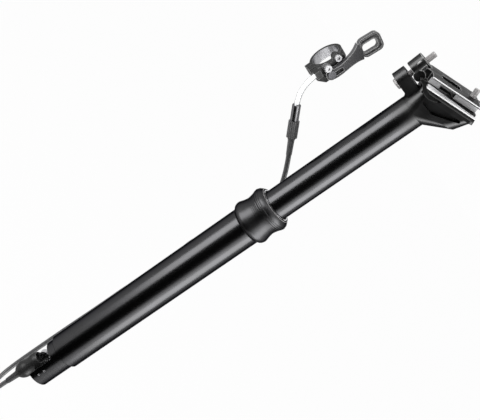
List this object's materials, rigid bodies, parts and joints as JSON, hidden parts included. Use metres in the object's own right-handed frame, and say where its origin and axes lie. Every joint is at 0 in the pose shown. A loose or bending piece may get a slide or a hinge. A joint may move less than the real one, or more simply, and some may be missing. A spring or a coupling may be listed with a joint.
{
  "type": "dropper seatpost",
  "caption": "Height-adjustable bicycle seatpost: sliding tube with two-bolt saddle clamp, seal collar, cable-worked foot and a thumb lever remote for the handlebar.",
  "frame": {"origin": "on the post's axis at the underside of the seal collar, where the top of the bicycle's seat tube ends", "axes": "+Z along the post towards the saddle, +X towards the back of the bicycle, +Y towards the bicycle's right-hand side"},
  "size_m": [0.1021, 0.0845, 0.4879],
  "materials": {
    "anodised_black": "satin",
    "anodised_soft": "fine matt, blasted",
    "forged_black": "satin, blasted",
    "bright_aluminium": "machined",
    "black_screw": "oxide black",
    "steel": "ground",
    "titanium_grey": "brushed",
    "seal_rubber": "matt",
    "slide_plastic": "matt",
    "key_brass": "bright",
    "housing_plastic": "satin",
    "liner_plastic": "clear, smooth",
    "lever_plastic": "moulded, satin",
    "boot_rubber": "soft matt",
    "cartridge_steel": "painted"
  },
  "bodies": {
    "lower_assembly": {"lower_tube": "anodised_black", "seal_collar": "anodised_soft", "wiper_seal": "seal_rubber", "retaining_ring": "bright_aluminium", "upper_bushing": "slide_plastic", "foot_housing": "anodised_black", "gas_cartridge": "cartridge_steel", "cartridge_nut": "bright_aluminium", "cable_stop": "anodised_black", "cam_pivot_pin": "steel", "stop_screw_upper": "black_screw", "stop_screw_lower": "black_screw", "stop_boot": "boot_rubber", "bar_clamp_band": "anodised_black", "bar_clamp_bolt": "black_screw", "remote_bracket": "anodised_black", "bracket_screw": "black_screw", "pivot_bolt": "black_screw", "adjuster_body": "anodised_black", "adjuster_boot": "boot_rubber", "liner_tube": "liner_plastic", "housing_upper_run": "housing_plastic", "housing_lower_loop": "housing_plastic", "housing_hank": "housing_plastic", "hank_tie": "housing_plastic"},
    "upper_post": {"stanchion": "forged_black", "lower_bushing": "slide_plastic", "guide_key_a": "key_brass", "guide_key_b": "key_brass", "guide_key_c": "key_brass", "cartridge_rod": "steel", "rod_piston": "slide_plastic", "rod_top_nut": "steel", "clamp_bolt_front": "titanium_grey", "clamp_bolt_rear": "titanium_grey", "bolt_washer_front": "steel", "bolt_washer_rear": "steel"},
    "saddle_cradle": {"lower_cradle": "forged_black", "upper_clamp": "forged_black"},
    "nut_front": {"barrel_nut_front": "bright_aluminium"},
    "nut_rear": {"barrel_nut_rear": "bright_aluminium"},
    "lever": {"remote_lever": "lever_plastic", "wire_clamp_screw": "black_screw"},
    "cam": {"actuator_cam": "steel"},
    "valve": {"valve_pin": "steel"},
    "wire": {"inner_wire": "steel", "wire_anchor": "steel"},
    "sleeve": {"adjuster_sleeve": "anodised_black"}
  },
  "joints": [
    {"name": "post_travel", "type": "slide", "parent": "lower_assembly", "child": "upper_post", "axis": [0, 0, 1], "range_m": [-0.125, 0], "stiffness_N_per_m": 120, "springref_m": 0.5},
    {"name": "saddle_tilt", "type": "hinge", "parent": "upper_post", "child": "saddle_cradle", "pos_m": [-0.006, 0, 0.1795], "axis": [0, 1, 0], "range_deg": [-4, 4]},
    {"name": "nut_front_turn", "type": "hinge", "parent": "saddle_cradle", "child": "nut_front", "pos_m": [-0.02398, 0, 0.17856], "axis": [0, 1, 0], "range_deg": [-4, 4]},
    {"name": "nut_rear_turn", "type": "hinge", "parent": "saddle_cradle", "child": "nut_rear", "pos_m": [0.01883, 0, 0.18878], "axis": [0, 1, 0], "range_deg": [-4, 4]},
    {"name": "lever_swing", "type": "hinge", "parent": "lower_assembly", "child": "lever", "pos_m": [-0.05517, 0.02584, 0.11762], "axis": [-0.3486, 0.9025, -0.2528], "range_deg": [0, 18], "stiffness_Nm_per_rad": 0.6, "springref_deg": -11.46},
    {"name": "cam_swing", "type": "hinge", "parent": "lower_assembly", "child": "cam", "pos_m": [-0.0014, 0, -0.2097], "axis": [0, -1, 0], "range_deg": [0, 18]},
    {"name": "valve_lift", "type": "slide", "parent": "lower_assembly", "child": "valve", "axis": [0, 0, 1], "range_m": [0, 0.0006]},
    {"name": "wire_pull", "type": "slide", "parent": "lower_assembly", "child": "wire", "axis": [0, 0, -1], "range_m": [0, 0.00177]},
    {"name": "sleeve_turn", "type": "hinge", "parent": "lower_assembly", "child": "sleeve", "pos_m": [-0.03784, 0.01746, 0.0709], "axis": [0.6966, 0.0733, -0.7137], "continuous": true}
  ],
  "couplings": [
    {"joint": "nut_front_turn", "follows": "saddle_tilt", "ratio": -1},
    {"joint": "nut_rear_turn", "follows": "saddle_tilt", "ratio": -1},
    {"joint": "cam_swing", "follows": "lever_swing", "ratio": 1},
    {"joint": "valve_lift", "follows": "lever_swing", "m_per_rad": 0.0019099},
    {"joint": "wire_pull", "follows": "lever_swing", "m_per_rad": 0.0056468}
  ]
}
